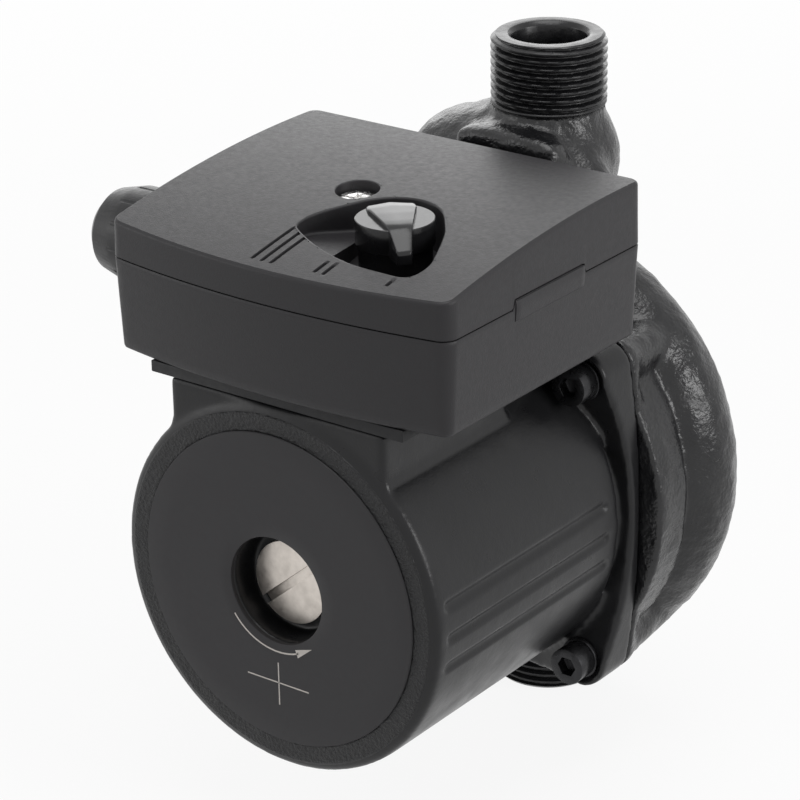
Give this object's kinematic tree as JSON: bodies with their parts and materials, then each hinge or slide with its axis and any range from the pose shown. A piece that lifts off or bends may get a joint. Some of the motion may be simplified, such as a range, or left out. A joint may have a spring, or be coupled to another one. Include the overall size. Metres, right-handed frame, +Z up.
{
  "type": "shower pump",
  "caption": "Inline water booster pump: wet-rotor motor on a cast volute housing, threaded ports in line above and below, and a terminal box with a speed knob and a cable gland.",
  "frame": {"origin": "centre of the lower (inlet) port's end face", "axes": "+Z up the common axis of the ports, from inlet to outlet; the motor's axis is parallel to Y at x = 0, z = 62.2 mm and its nameplate faces -Y; +X is to the right seen from the nameplate"},
  "size_m": [0.1234, 0.1347, 0.16],
  "materials": {
    "cast_black": "gloss black paint over a rough sand casting",
    "shell_black": "satin black paint over a die casting",
    "case_plastic": "fine matte charcoal",
    "knob_plastic": "glossy black",
    "black_plastic": "satin black",
    "ivory_plastic": "moulded ivory",
    "plate": "matte charcoal print film on sheet metal",
    "nickel": "turned, nickel plated",
    "steel": "stainless, plain",
    "zinc": "zinc plated",
    "dark_steel": "blackened",
    "laminations": "stacked sheet",
    "copper": "lacquered copper wire",
    "brass": "plain brass",
    "rubber": "matte black",
    "graphite": "carbon graphite",
    "white_ceramic": "ground ceramic",
    "can_aluminium": "drawn can",
    "lead_sleeve": "wire insulation"
  },
  "bodies": {
    "casing": {"pump_housing": "cast_black", "wear_ring": "steel", "housing_gasket": "rubber", "bearing_plate": "steel", "rear_bearing": "graphite", "front_bearing": "graphite", "rotor_can": "steel", "stator_core": "laminations", "stator_windings": "copper", "motor_shell": "shell_black", "nameplate": "plate", "housing_screws": "dark_steel", "screw_washers": "dark_steel", "box_gasket": "rubber", "terminal_box": "case_plastic", "lid_seal": "rubber", "terminal_lid": "case_plastic", "lid_screw": "zinc", "speed_switch": "black_plastic", "terminal_block": "ivory_plastic", "terminal_screws": "brass", "capacitor": "can_aluminium", "capacitor_clip": "black_plastic", "box_screws": "zinc", "earth_screw": "brass", "winding_leads": "lead_sleeve", "gland_body": "black_plastic", "gland_locknut": "black_plastic", "gland_seal": "rubber"},
    "rotor": {"shaft": "white_ceramic", "rotor_core": "steel", "impeller": "ivory_plastic", "thrust_ring": "graphite"},
    "vent_seal": {"vent_o_ring": "rubber"},
    "vent_screw": {"vent_plug": "nickel"},
    "knob": {"selector_knob": "knob_plastic"},
    "cable_nut": {"gland_nut": "black_plastic"}
  },
  "joints": [
    {"name": "rotor_spin", "type": "hinge", "parent": "casing", "child": "rotor", "pos_m": [0, -0.057, 0.0622], "axis": [0, -1, 0], "continuous": true},
    {"name": "vent_travel", "type": "slide", "parent": "casing", "child": "vent_seal", "axis": [0, -1, 0], "range_m": [0, 0.003]},
    {"name": "vent_turn", "type": "hinge", "parent": "vent_seal", "child": "vent_screw", "pos_m": [0, -0.0948, 0.0622], "axis": [0, -1, 0], "range_deg": [0, 720]},
    {"name": "speed_select", "type": "hinge", "parent": "casing", "child": "knob", "pos_m": [0.0145, -0.0775, 0.138], "axis": [0, 0, 1], "range_deg": [-80, 0]},
    {"name": "gland_tighten", "type": "hinge", "parent": "casing", "child": "cable_nut", "pos_m": [-0.059, -0.0697, 0.1199], "axis": [-1, 0, 0], "range_deg": [0, 360]}
  ],
  "couplings": [
    {"joint": "vent_turn", "follows": "vent_travel", "rad_per_m": 4188.8}
  ]
}
